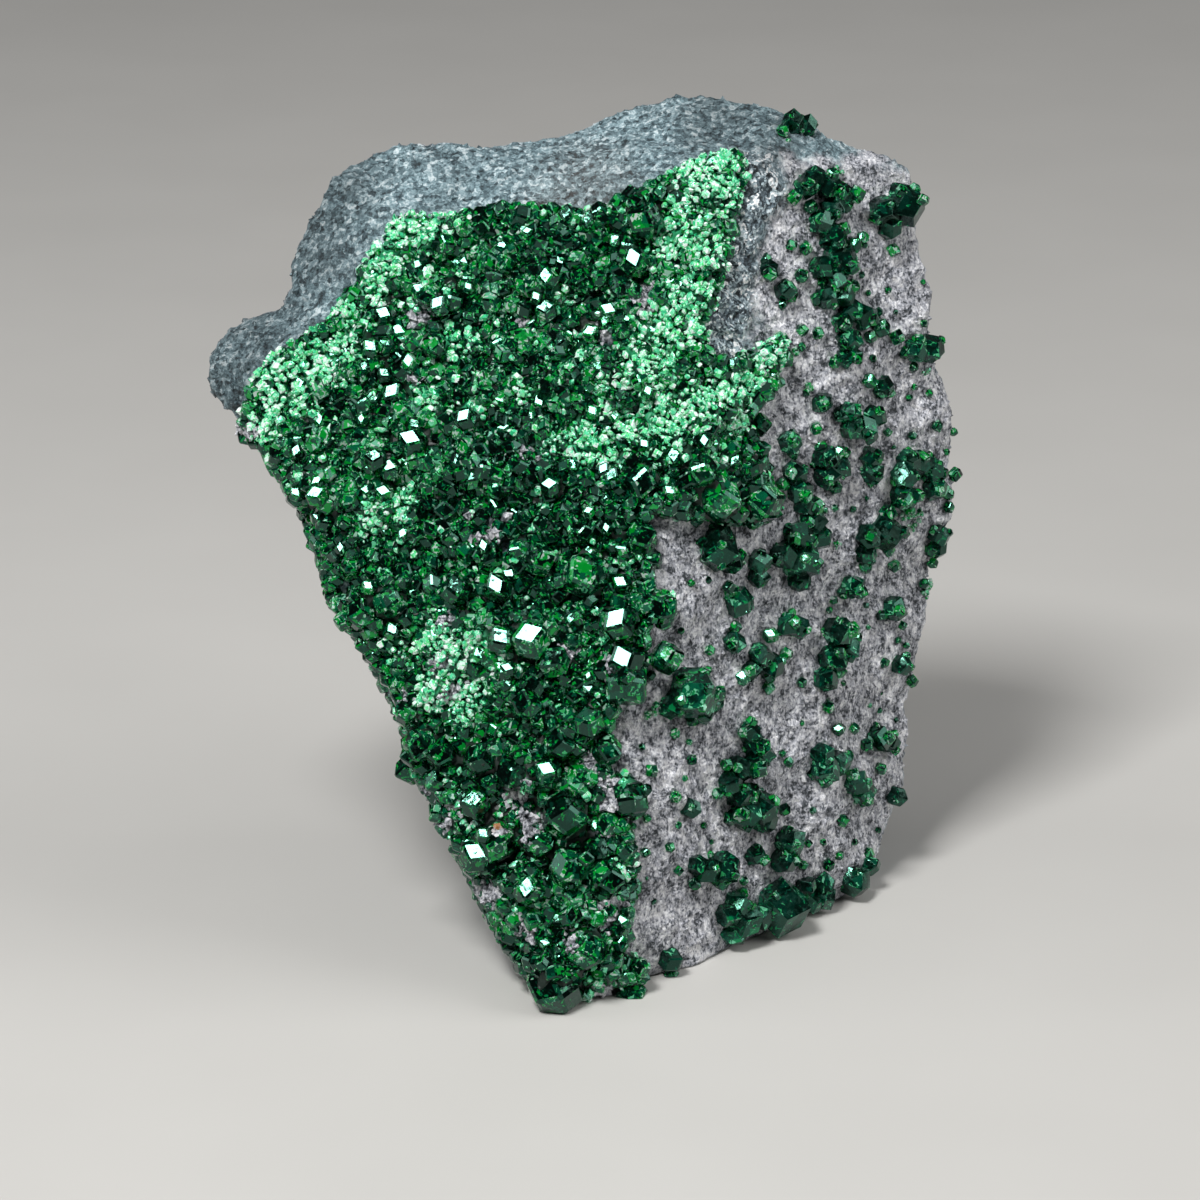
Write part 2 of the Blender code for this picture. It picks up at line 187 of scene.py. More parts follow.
PALE_FACE = [          # outline of the skin
    (765, 205), (790, 165), (850, 150), (925, 160), (965, 240), (985, 400), (965, 720), (900, 900),
    (700, 1010), (600, 1040), (590, 700), (640, 520), (690, 405), (738, 372), (752, 300),
]
BARE_PATCHES = [       # where rock shows through the crust: a middle and a radius each
    (425, 315, 7), (412, 322, 6), (645, 295, 11), (522, 460, 8), (605, 780, 8), (440, 665, 8),
    (450, 690, 8), (475, 520, 7), (495, 530, 8), (480, 545, 7), (603, 335, 8), (522, 328, 6),
    (250, 430, 8), (445, 620, 6), (415, 375, 6), (528, 645, 6), (432, 790, 8), (446, 804, 8),
    (445, 820, 8), (510, 795, 9), (520, 785, 8), (529, 820, 7), (536, 834, 7), (485, 890, 9),
    (497, 897, 8), (458, 880, 8), (524, 926, 8), (535, 933, 7), (568, 936, 8), (575, 951, 7),
    (572, 650, 8), (604, 990, 8), (590, 772, 8), (405, 700, 6), (498, 832, 5), (592, 764, 12),
    (601, 750, 10), (608, 802, 9), (604, 828, 8), (612, 905, 8), (606, 925, 7), (608, 660, 8),
]
DARK_BAND = [          # outline of the rugged band between the skin and the crust, painted darker as a shaded hollow
    (690, 170), (770, 150), (790, 200), (760, 230), (752, 300), (742, 372), (690, 410), (690, 300),
]
DARK_SIDE = [          # shaded parts of the top and its left side
    (230, 330, 90), (250, 260, 60), (310, 235, 60), (340, 180, 45), (215, 400, 60), (720, 120, 50),
    (780, 140, 40),
]
RUSTY = [(590, 195, 55), (560, 205, 40)]


def pixels_of(points):
    """The pixels at which points are seen, as an array."""
    way = points - np.array(EYE)
    scale = VIEW_DISTANCE / (way @ np.array(AHEAD)) / PIXEL
    across, rise = (way @ np.array(RIGHT)) * scale, (way @ np.array(UP)) * scale
    return np.stack([MIDDLE + across, MIDDLE - rise], axis=1)


def patches(pixels, blobs):
    """How far each pixel lies within the nearest of some round blobs: 1 in its inner part, and less from
    there to a quarter past its radius, where it ends."""
    most = np.zeros(len(pixels))
    for x, y, radius in blobs:
        away = np.hypot(pixels[:, 0] - x, pixels[:, 1] - y) / radius
        most = np.maximum(most, np.clip(1.5 - away * 1.2, 0.0, 1.0))
    return most


def depth_inside(pixels, outline):
    """How many pixels within an outline each pixel lies, negative outside it."""
    corners = np.array(outline, float)
    nearest = np.full(len(pixels), 1e9)
    within = np.zeros(len(pixels), bool)
    for start, end in zip(corners, np.roll(corners, -1, axis=0)):
        side = end - start
        along = np.clip(((pixels - start) @ side) / (side @ side), 0, 1)
        nearest = np.minimum(nearest, np.hypot(*(pixels - start - along[:, None] * side).T))
        crosses = (start[1] > pixels[:, 1]) != (end[1] > pixels[:, 1])
        rise = side[1] if side[1] else 1e-9
        within ^= crosses & (pixels[:, 0] < start[0] + (pixels[:, 1] - start[1]) * side[0] / rise)
    return np.where(within, nearest, -nearest)


def merged(name):
    """A CAD node's solid as one connected mesh, in millimetres."""
    shape = bmesh.new()
    shape.from_mesh(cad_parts[name].data)
    bmesh.ops.scale(shape, vec=(1 / MM,) * 3, verts=shape.verts)
    bmesh.ops.remove_doubles(shape, verts=shape.verts, dist=1e-4)
    shape.normal_update()
    return shape


def stand_in(name, shape):
    """A mesh in millimetres that only lends its shape and goes before the end."""
    mesh = bpy.data.meshes.new(name)
    shape.to_mesh(mesh)
    thing = bpy.data.objects.new(name, mesh)
    bpy.context.scene.collection.objects.link(thing)
    return thing


def applied(thing):
    """The object's mesh with its modifiers applied. The object itself goes."""
    graph = bpy.context.evaluated_depsgraph_get()
    mesh = bpy.data.meshes.new_from_object(thing.evaluated_get(graph), depsgraph=graph)
    thing.modifiers.clear()
    bpy.data.objects.remove(thing, do_unlink=True)
    return mesh


def per_point(mesh, name):
    """A vector of each point of a mesh, its place or its normal, as an array."""
    values = np.zeros(len(mesh.vertices) * 3)
    mesh.vertices.foreach_get(name, values)
    return values.reshape(-1, 3)


def paint(mesh, name, values):
    """Stores a number for each point of a mesh, for its material or its crystals to read."""
    layer = mesh.attributes.get(name) or mesh.attributes.new(name, "FLOAT", "POINT")
    layer.data.foreach_set("value", np.asarray(values, np.float32))


def set_out(name, mesh, nodes, material=None):
    """A finished piece in metres, which moves with the part and stands for some of its solids."""
    places = per_point(mesh, "co")
    places[:, 2] = np.maximum(places[:, 2], 0.0)
    mesh.vertices.foreach_set("co", places.ravel())
    mesh.transform(Matrix.Scale(MM, 4))
    mesh.name = name
    if material:
        mesh.materials.clear()
        mesh.materials.append(material)
    thing = bpy.data.objects.new(name, mesh)
    bpy.context.scene.collection.objects.link(thing)
    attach(thing, "root")
    if nodes:
        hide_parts(*nodes)


rock_solid = merged("chromite_matrix")
rock_surface = BVHTree.FromBMesh(rock_solid)
rock = stand_in("rock", rock_solid)
remesh = rock.modifiers.new("even", "REMESH")
remesh.mode = "VOXEL"
remesh.voxel_size = ROCK_CELL
smooth = rock.modifiers.new("smooth", "SMOOTH")
smooth.factor = 0.5
smooth.iterations = SMOOTHINGS
rock_mesh = applied(rock)

dark = np.clip(0.5 + depth_inside(pixels_of(per_point(rock_mesh, "co")), DARK_BAND) / BAND_EDGE, 0, 1)
moved = []
for vertex, rugged in zip(rock_mesh.vertices, dark):
    place = vertex.co
    swell = sum(height * noise.noise(place / length) for length, height in BREAK_SWELLS)
    swell += rugged * RUGGED * noise.noise(place / RUGGED_LENGTH)
    near, far = noise.voronoi(place / GRAIN)[0][:2]
    height = swell + GRAIN_RELIEF * (min(far - near, GRAIN_FLAT) - GRAIN_FLAT / 2)
    steady = min(1.0, max(0.0, place.z / FOOT_KEPT))
    moved.append(place + vertex.normal * height * steady)
for vertex, place in zip(rock_mesh.vertices, moved):
    vertex.co = place

rock_points = per_point(rock_mesh, "co")
rock_pixels = pixels_of(rock_points)
wander = np.array([noise.noise(Vector(place) / WANDER_LENGTH) for place in rock_points])
seen = np.clip(0.3 - per_point(rock_mesh, "normal") @ np.array(AHEAD) * 2.0, 0, 1)
pale = np.clip(0.5 + (depth_inside(rock_pixels, PALE_FACE) + wander * SKIN_WANDER) / SKIN_EDGE, 0, 1)
pale = np.maximum(pale, patches(rock_pixels, BARE_PATCHES) > 0)
behind = np.clip(0.25 + wander * 1.2, 0, 1)    # the unseen back is mostly dark, with scraps of the pale skin
paint(rock_mesh, "pale", pale * seen + behind * (1 - seen))
paint(rock_mesh, "dark", dark * seen)
paint(rock_mesh, "shaded", patches(rock_pixels, DARK_SIDE))
paint(rock_mesh, "rusty", RUST * patches(rock_pixels, RUSTY) * seen)


def of_place(tree):
    """Where on the piece a point lies, in millimetres, so that a pattern's scale is its count in each."""
    coords = add(tree, "ShaderNodeTexCoord").outputs["Object"]
    return add(tree, "ShaderNodeVectorMath", {0: coords, 3: 1 / MM}, operation="SCALE")


def aslant(tree, cells, amount):
    """A surface broken into small planes, each one leaning its own way by its cell's colour."""
    tilt = add(tree, "ShaderNodeVectorMath", {0: cells, 1: (0.5, 0.5, 0.5)}, operation="SUBTRACT")
    lean = add(tree, "ShaderNodeVectorMath", {0: tilt, 3: amount}, operation="SCALE")
    normal = add(tree, "ShaderNodeNewGeometry").outputs["Normal"]
    turned = add(tree, "ShaderNodeVectorMath", {0: normal, 1: lean}, operation="ADD")
    return add(tree, "ShaderNodeVectorMath", {0: turned}, operation="NORMALIZE")


def chromite(tree, place):
    """The rock's colours at a place: dark chromite and its pale skin. A grain is 0.26 mm wide and a fleck
    0.13 mm, they gather in lumps of 0.8 mm, and clouds of light and dark are 2 mm."""
    grains = add(tree, "ShaderNodeTexVoronoi", {"Vector": place, "Scale": 3.8})
    flecks = add(tree, "ShaderNodeTexVoronoi", {"Vector": place, "Scale": 8.0})
    cloud = add(tree, "ShaderNodeTexNoise", {"Vector": place, "Scale": 0.5, "Detail": 6.0, "Roughness": 0.7})
    lumps = add(tree, "ShaderNodeTexNoise", {"Vector": place, "Scale": 1.3, "Detail": 3.0})
    speckle = add(tree, "ShaderNodeTexNoise", {
        "Vector": place, "Scale": 3.2, "Detail": 4.0, "Roughness": 0.8,
    })
    of_grain = add(tree, "ShaderNodeSeparateColor", {0: grains.outputs["Color"]}).outputs
    of_fleck = add(tree, "ShaderNodeSeparateColor", {0: flecks.outputs["Color"]}).outputs
    # chromite is dark and slightly metallic, its grains from slate to light grey as they catch the light
    level = add(tree, "ShaderNodeMath", {0: of_fleck[0], 1: 0.16}, operation="MULTIPLY")
    level = add(tree, "ShaderNodeMath", {0: of_grain[0], 1: 0.28, 2: level}, operation="MULTIPLY_ADD")
    level = add(tree, "ShaderNodeMath", {0: speckle, 1: 0.65, 2: level}, operation="MULTIPLY_ADD")
    level = add(tree, "ShaderNodeMath", {0: lumps, 1: 0.5, 2: level}, operation="MULTIPLY_ADD")
    grey = add(tree, "ShaderNodeValToRGB", {0: level}, stops=[
        (0.54, "#1c282c"), (0.67, "#465960"), (0.79, "#6c848b"), (0.91, "#98afb6"), (1.0, "#cfdcdf"),
    ])
    # the skin is an upright felt of white and lilac grey minerals, with dark specks between them in swarms
    upright = add(tree, "ShaderNodeMapping", {"Vector": place, "Scale": (1.2, 1.2, 0.6)})
    fibres = add(tree, "ShaderNodeTexNoise", {
        "Vector": upright, "Scale": 3.0, "Detail": 4.0, "Roughness": 0.8,
    })
    level = add(tree, "ShaderNodeMath", {0: fibres, 1: 0.8}, operation="MULTIPLY")
    level = add(tree, "ShaderNodeMath", {0: of_fleck[1], 1: 0.2, 2: level}, operation="MULTIPLY_ADD")
    level = add(tree, "ShaderNodeMath", {0: lumps, 1: 0.6, 2: level}, operation="MULTIPLY_ADD")
    felt = add(tree, "ShaderNodeValToRGB", {0: level}, stops=[
        (0.64, "#2b3136"), (0.71, "#6d7178"), (0.78, "#a3a5ad"), (0.86, "#c7c8ce"), (0.97, "#f0f0f2"),
    ])
    # the broken band between them has coarser grains, 0.4 mm wide, darkened as painted shade of its hollow,
    # from nearly black to white painted glints
    coarse = add(tree, "ShaderNodeTexVoronoi", {"Vector": place, "Scale": 2.4})
    of_coarse = add(tree, "ShaderNodeSeparateColor", {0: coarse.outputs["Color"]}).outputs
    level = add(tree, "ShaderNodeMath", {0: of_coarse[1], 1: 0.5}, operation="MULTIPLY")
    level = add(tree, "ShaderNodeMath", {0: of_fleck[2], 1: 0.5, 2: level}, operation="MULTIPLY_ADD")
    band = add(tree, "ShaderNodeValToRGB", {0: level}, stops=[
        (0.08, "#0a1214"), (0.26, "#222e35"), (0.5, "#66767f"), (0.7, "#c0d2d8"), (0.82, "#ffffff"),
    ])
    # each of them lies where the mesh says, under a little rust
    colour = grey.outputs[0]
    for where, other in (("pale", felt), ("dark", band), ("rusty", linear("#b0743a"))):
        share = add(tree, "ShaderNodeAttribute", attribute_name=where).outputs["Fac"]
        colour = add(tree, "ShaderNodeMix", {0: share, 6: colour, 7: other}, data_type="RGBA").outputs[2]
    shaded = add(tree, "ShaderNodeAttribute", attribute_name="shaded").outputs["Fac"]
    light = add(tree, "ShaderNodeMapRange", {0: cloud, 1: 0.3, 2: 0.7, 3: 0.7, 4: 1.2})
    left = add(tree, "ShaderNodeMath", {0: shaded, 1: -0.42, 2: 1.0}, operation="MULTIPLY_ADD")
    light = add(tree, "ShaderNodeMath", {0: light, 1: left}, operation="MULTIPLY")
    tinted = add(tree, "ShaderNodeVectorMath", {0: colour, 3: light}, operation="SCALE")
    return tinted, grains.outputs["Color"], speckle, of_fleck[2]


# broken chromite: matt and granular, with a glint where a fleck of it happens to mirror the light
rock_finish, tree = finish("granular chromite rock")
colour, cells, speckle, fleck = chromite(tree, of_place(tree))
relief = add(tree, "ShaderNodeBump", {
    "Height": speckle, "Strength": 0.9, "Distance": 0.2 * MM, "Normal": aslant(tree, cells, 0.6),
})
glint = add(tree, "ShaderNodeMapRange", {0: fleck, 1: 0.7, 2: 0.8, 3: 0.7, 4: 0.36})
shader = add(tree, "ShaderNodeBsdfPrincipled", {"Base Color": colour, "Roughness": glint, "Normal": relief})
add(tree, "ShaderNodeOutputMaterial", {"Surface": shader})


# The grains of the rock
# Chromite grows in octahedra, and where the rock broke they stand out of it, a quarter to half a millimetre
# wide. They are set all over the rock's own mesh by the tree that later grows the garnets too.

DENSEST = 60.0         # points tried on each square millimetre, before the spacing thins them
VALLEY_SHADE_DARKENS = 0.7     # how much of the range of tones a crystal loses in painted shade
GRAINS_FROM = 0.4      # height over the foot at which grains begin
GRAINS_BEHIND = 0.2    # how many of them the unseen back has, as a share


def crystal_tree():
    """Geometry Nodes that stand crystals of one form all over a ground, each turned and sized at random."""
    tree = bpy.data.node_groups.new("crystals on a ground", "GeometryNodeTree")
    tree.interface.new_socket("Ground", in_out="INPUT", socket_type="NodeSocketGeometry")
    for name, kind in [
        ("Form", "Object"), ("Spacing", "Float"), ("Narrowest", "Float"), ("Widest", "Float"),
        ("Sunk", "Float"), ("Uneven", "Float"), ("Mint shrinks", "Float"), ("Seed", "Int"),
        ("Finish", "Material"),
    ]:
        tree.interface.new_socket(name, in_out="INPUT", socket_type=f"NodeSocket{kind}")
    tree.interface.new_socket("Crystals", in_out="OUTPUT", socket_type="NodeSocketGeometry")
    given = add(tree, "NodeGroupInput").outputs
    room = add(tree, "GeometryNodeInputNamedAttribute", {"Name": "room"}, data_type="FLOAT")
    mint = add(tree, "GeometryNodeInputNamedAttribute", {"Name": "mint"}, data_type="FLOAT")
    # painted shade: the hollows of the crust, where crystals are kept darker
    deep = add(tree, "GeometryNodeInputNamedAttribute", {"Name": "deep"}, data_type="FLOAT")
    # places, as far apart as the spacing says, and sunk into the ground
    spread = add(tree, "GeometryNodeDistributePointsOnFaces", {
        "Mesh": given["Ground"], "Distance Min": given["Spacing"], "Density Max": DENSEST,
        "Density Factor": room, "Seed": given["Seed"],
    }, distribute_method="POISSON")
    down = add(tree, "ShaderNodeMath", {0: given["Sunk"], 1: -1.0}, operation="MULTIPLY")
    sink = add(tree, "ShaderNodeVectorMath", {0: spread.outputs["Normal"], 3: down}, operation="SCALE")
    seats = add(tree, "GeometryNodeSetPosition", {"Geometry": spread.outputs["Points"], "Offset": sink})
    # sizes, less where the crust is mint green, and a little uneven from side to side
    turn = add(tree, "FunctionNodeRandomValue", {
        0: (0.0,) * 3, 1: (2 * math.pi,) * 3, "Seed": given["Seed"],
    }, data_type="FLOAT_VECTOR")
    width = add(tree, "FunctionNodeRandomValue", {
        2: given["Narrowest"], 3: given["Widest"], "Seed": 5,
    }, data_type="FLOAT").outputs[1]
    less = add(tree, "ShaderNodeMath", {0: mint, 1: given["Mint shrinks"]}, operation="MULTIPLY")
    share = add(tree, "ShaderNodeMath", {0: 1.0, 1: less}, operation="SUBTRACT")
    sized = add(tree, "ShaderNodeMath", {0: width, 1: share}, operation="MULTIPLY")
    thinnest = add(tree, "ShaderNodeMath", {0: 1.0, 1: given["Uneven"]}, operation="SUBTRACT")
    thickest = add(tree, "ShaderNodeMath", {0: 1.0, 1: given["Uneven"]}, operation="ADD")
    uneven = add(tree, "FunctionNodeRandomValue", {
        0: thinnest, 1: thickest, "Seed": 9,
    }, data_type="FLOAT_VECTOR")
    scale = add(tree, "ShaderNodeVectorMath", {0: uneven, 3: sized}, operation="SCALE")
    form = add(tree, "GeometryNodeObjectInfo", {"Object": given["Form"]}).outputs["Geometry"]
    stand = add(tree, "GeometryNodeInstanceOnPoints", {
        "Points": seats, "Instance": form, "Rotation": turn, "Scale": scale,
    })
    # a tone for each crystal, darker in the painted shade of hollows, and one for each of its faces
    lightest = add(tree, "ShaderNodeMath", {0: deep, 1: -VALLEY_SHADE_DARKENS, 2: 1.0}, operation="MULTIPLY_ADD")
    tone = add(tree, "FunctionNodeRandomValue", {
        2: 0.0, 3: lightest, "Seed": 11,
    }, data_type="FLOAT").outputs[1]
    toned = add(tree, "GeometryNodeStoreNamedAttribute", {
        "Geometry": stand, "Name": "tone", "Value": tone,
    }, data_type="FLOAT", domain="INSTANCE")
    real = add(tree, "GeometryNodeRealizeInstances", {"Geometry": toned})
    chance = add(tree, "FunctionNodeRandomValue", {
        2: 0.0, 3: 1.0, "ID": add(tree, "GeometryNodeInputIndex"), "Seed": 13,
    }, data_type="FLOAT").outputs[1]
    faced = add(tree, "GeometryNodeStoreNamedAttribute", {
        "Geometry": real, "Name": "facet", "Value": chance,
    }, data_type="FLOAT", domain="FACE")
    dressed = add(tree, "GeometryNodeSetMaterial", {"Geometry": faced, "Material": given["Finish"]})
    add(tree, "NodeGroupOutput", {"Crystals": dressed})
    return tree


CRYSTAL_TREE = crystal_tree()


def grow(name, ground, room, **values):
    """Grows crystals on a copy of the ground, where it has room for them, and gives them as one mesh."""
    bed = ground.copy()
    bed.data = ground.data.copy()
    bpy.context.scene.collection.objects.link(bed)
    paint(bed.data, "room", room)
    growth = bed.modifiers.new(name, "NODES")
    growth.node_group = CRYSTAL_TREE
    for item in CRYSTAL_TREE.interface.items_tree:
        if item.in_out == "INPUT" and item.name in values:
            growth[item.identifier] = values[item.name]
    return applied(bed)


octahedron = bmesh.new()
for axis in range(3):
    for side in (-0.5, 0.5):
        corner = Vector((0, 0, 0))
        corner[axis] = side
        octahedron.verts.new(corner)
bmesh.ops.convex_hull(octahedron, input=octahedron.verts)
octahedron_form = stand_in("octahedron", octahedron)

rock_ground = bpy.data.objects.new("rock_ground", rock_mesh.copy())
bpy.context.scene.collection.objects.link(rock_ground)
grain_room = (rock_points[:, 2] > GRAINS_FROM) * (GRAINS_BEHIND + (1 - GRAINS_BEHIND) * seen)
grains = grow("grains", rock_ground, grain_room, **{
    "Form": octahedron_form, "Spacing": 0.4, "Narrowest": 0.28, "Widest": 0.6, "Sunk": 0.12, "Uneven": 0.25,
    "Mint shrinks": 0.0, "Seed": 2, "Finish": rock_finish,
})
set_out("chromite_rock", rock_mesh, ["chromite_matrix"], rock_finish)
set_out("chromite_grains", grains, [])


# The crust on the front face
# Uvarovite, a calcium chromium garnet: deep green glassy dodecahedra that have grown side by side all over
# the face, most of them about a millimetre across. The solid crust gives the bed that they grow on, sunk a
# little so that their tips reach where its own knobs do.

BED_SUNK = 0.30
ROOTED = 0.3           # how far the back of the crust runs into the rock
BACK_AWAY = 0.24       # how near to the rock the back lies
FRONT_AWAY = 0.3       # how far from the rock a point of the crust is surely part of its front
FRONT_FACING = 0.2     # how much nearer to it a point also has to face outwards
BED_FOOT = 0.02        # height over the table at which the bed ends
CRYSTALS_FROM = 0.3    # height over the table at which its crystals begin
RAISED = 0.24          # height of a crystal's centre over its bed, as a share of its width
STEP_IN = 0.01         # how far a sight line that passes beside the piece is brought in at a time
GARNET_IOR = 1.86
WIDTH_IN_EDGES = 3.3   # a rhombic dodecahedron seen from any side, in half cube edges
BEVEL = 0.055          # width of the narrow faces along a crystal's edges, as a share of its width
FLAT = 0.02            # triangles that turn by less than this from each other are one face
FACE_TO_WIDTH = PIXEL / 0.86 * 1.5    # a face is 0.86 as long as its crystal is wide, less its bevels
FACE_AT = 0.43         # how far a crystal's faces are from its centre, as a share of its width
LARGE_OVER_ROCK = 0.6  # how high over the rock a large crystal starts
FACE_PROUD = 0.7       # how far a bright face stands over the bed, clear of the crystals round it
KEEPS_CLEAR = 0.52     # how far round its centre a large crystal takes up the bed, as a share of its width
PATCH_BREAK = 0.8      # length of the breaks in the mint green patches
PATCH_WHOLE = 0.95     # how whole such a patch is on the average
PATCH_SWING = 1.6      # how far the breaks swing that
MAIN_IN_MINT = 0.05    # the least of the main coat that such a patch keeps
FINE_OUTSIDE = 0.05    # how much of the fine coat lies outside the patches
MINT_PATCHES = [       # where the crust is fine-grained and light
    (405, 230, 30), (430, 222, 22), (385, 262, 18), (372, 292, 15), (345, 318, 16), (285, 362, 24),
    (322, 362, 26), (345, 345, 18), (268, 398, 18), (266, 428, 16), (300, 400, 14), (700, 180, 26),
    (727, 200, 18), (728, 165, 16), (690, 218, 24), (668, 240, 20), (706, 250, 22), (692, 290, 22),
    (680, 322, 26), (655, 330, 20), (640, 346, 18), (702, 335, 15), (655, 357, 24), (630, 385, 22),
    (652, 402, 25), (608, 398, 16), (625, 425, 24), (660, 432, 28), (690, 410, 24), (720, 402, 20),
    (742, 384, 18), (765, 356, 18), (775, 345, 14), (580, 440, 22), (552, 442, 16), (600, 455, 18),
    (455, 345, 16), (430, 392, 14), (395, 512, 18), (372, 515, 14), (410, 500, 14), (440, 640, 20),
    (455, 655, 20), (473, 640, 14), (465, 700, 22), (440, 690, 18), (478, 690, 16), (605, 880, 20),
    (590, 868, 12), (560, 300, 12), (520, 395, 12), (470, 410, 12), (398, 640, 14), (625, 790, 12),
    (705, 460, 14), (735, 420, 14),
]
VALLEY_SHADE_PATCHES = [       # where its crystals are darkest, as painted shade in the hollows of the crust
    (455, 328, 30), (570, 348, 16), (530, 500, 80), (450, 500, 30), (600, 510, 40), (395, 560, 40),
    (330, 530, 30), (530, 590, 30), (590, 610, 30), (560, 700, 50), (430, 760, 40), (500, 870, 40),
    (545, 960, 50), (660, 480, 50), (740, 500, 40), (560, 250, 40), (630, 240, 30), (660, 650, 30),
    (585, 860, 30),
]
RUST_SPECK = [(498, 832, 2.4)]
LARGE_CRYSTALS = [     # the pixel each is seen at, and its width in millimetres
    (706, 496, 2.4), (746, 499, 2.3), (690, 468, 1.8), (640, 485, 2.0), (590, 577, 2.4), (650, 604, 1.7),
    (656, 656, 1.7), (627, 682, 2.4), (567, 813, 2.7), (545, 838, 2.0), (575, 866, 2.1), (592, 945, 2.1),
    (560, 985, 2.9), (500, 838, 2.2), (482, 852, 1.9), (606, 880, 2.0), (425, 738, 1.9), (484, 752, 1.9),
    (360, 612, 1.8), (395, 602, 1.9), (435, 350, 1.6), (645, 220, 2.1), (622, 795, 2.0), (520, 768, 1.9),
    (620, 984, 1.7), (452, 306, 1.4), (330, 505, 1.4), (450, 512, 1.5), (445, 748, 1.7), (415, 770, 1.6),
    (540, 560, 1.7), (500, 585, 1.6), (460, 590, 1.6), (640, 540, 1.8), (555, 660, 1.9), (480, 800, 1.8),
    (560, 740, 1.8), (530, 700, 1.7), (590, 720, 1.8), (610, 745, 1.6), (614, 398, 0.8), (622, 402, 0.9),
    (630, 404, 0.8), (626, 396, 0.9), (636, 398, 0.9), (618, 408, 0.7),
]
BRIGHT_FACES = [       # the pixel each face that mirrors the main light is seen at, and its width in pixels
    (410, 437, 18), (373, 455, 14), (388, 465, 14), (369, 466, 8), (383, 490, 12), (315, 492, 14),
    (286, 488, 10), (296, 450, 10), (340, 547, 8), (368, 585, 10), (392, 628, 12), (408, 360, 12),
    (384, 372, 10), (391, 390, 16), (370, 345, 14), (383, 312, 14), (437, 302, 14), (455, 262, 8),
    (527, 230, 8), (545, 275, 14), (545, 306, 14), (590, 330, 12), (592, 410, 10), (615, 415, 8),
    (529, 415, 8), (463, 415, 14), (361, 418, 8), (500, 635, 18), (528, 633, 24), (507, 667, 10),
    (616, 240, 14), (633, 257, 18), (549, 483, 13), (603, 468, 10), (606, 527, 8), (620, 581, 13),
    (615, 618, 22), (622, 657, 22), (588, 675, 6), (546, 768, 16), (483, 833, 10), (526, 887, 18),
    (557, 918, 10), (545, 942, 8), (483, 545, 10), (670, 490, 10), (536, 296, 9), (385, 343, 10),
    (644, 443, 9), (704, 440, 10), (468, 286, 7), (648, 390, 9), (588, 510, 8),
]

# a face turned this way mirrors the key light
BISECTOR = (towards(KEY_AZIMUTH, KEY_ELEVATION) - AHEAD).normalized()


def sight_line(x, y):
    """The direction from the eye through a pixel."""
    across, rise = (x - MIDDLE) * PIXEL, (MIDDLE - y) * PIXEL
    return (RIGHT * across + UP * rise + AHEAD * VIEW_DISTANCE).normalized()


def spot(surface, x, y):
    """Where a sight line meets a surface, stepping inwards if it passes beside it."""
    point = None
    while point is None:
        point, normal, _, _ = surface.ray_cast(EYE, sight_line(x, y))
        x += (MIDDLE - x) * STEP_IN
        y += (MIDDLE - y) * STEP_IN
    return point, normal


def seated(surface, x, y, width, raised):
    """Where a crystal seen at a pixel has its centre, raised by so much over a surface."""
    point, normal = spot(surface, x, y)
    return point + normal * (raised + width * RAISED)


def lit_seat(surface, x, y, size, proud):
    """Where a crystal has its centre and how wide it is, if its bright face is seen at a pixel."""
    point, _ = spot(surface, x, y)
    width = size * FACE_TO_WIDTH
    return point - (point - EYE).normalized() * proud - BISECTOR * (FACE_AT * width), width


def garnet_form(bevel):
    """A garnet crystal one unit wide: twelve rhombs, with narrow faces on their edges if bevel isn't 0."""
    shape = bmesh.new()
    unit = 1.0 / WIDTH_IN_EDGES
    for axis in range(3):
        for side in (-2, 2):
            corner = Vector((0, 0, 0))
            corner[axis] = side * unit
            shape.verts.new(corner)
    for x in (-1, 1):
        for y in (-1, 1):
            for z in (-1, 1):
                shape.verts.new(Vector((x, y, z)) * unit)
    bmesh.ops.convex_hull(shape, input=shape.verts)
    bmesh.ops.dissolve_limit(shape, angle_limit=FLAT, verts=shape.verts, edges=shape.edges)
    if bevel:
        bmesh.ops.bevel(shape, geom=shape.edges[:], offset=bevel, segments=1, profile=0.5, affect="EDGES")
    bmesh.ops.recalc_face_normals(shape, faces=shape.faces)
    return shape


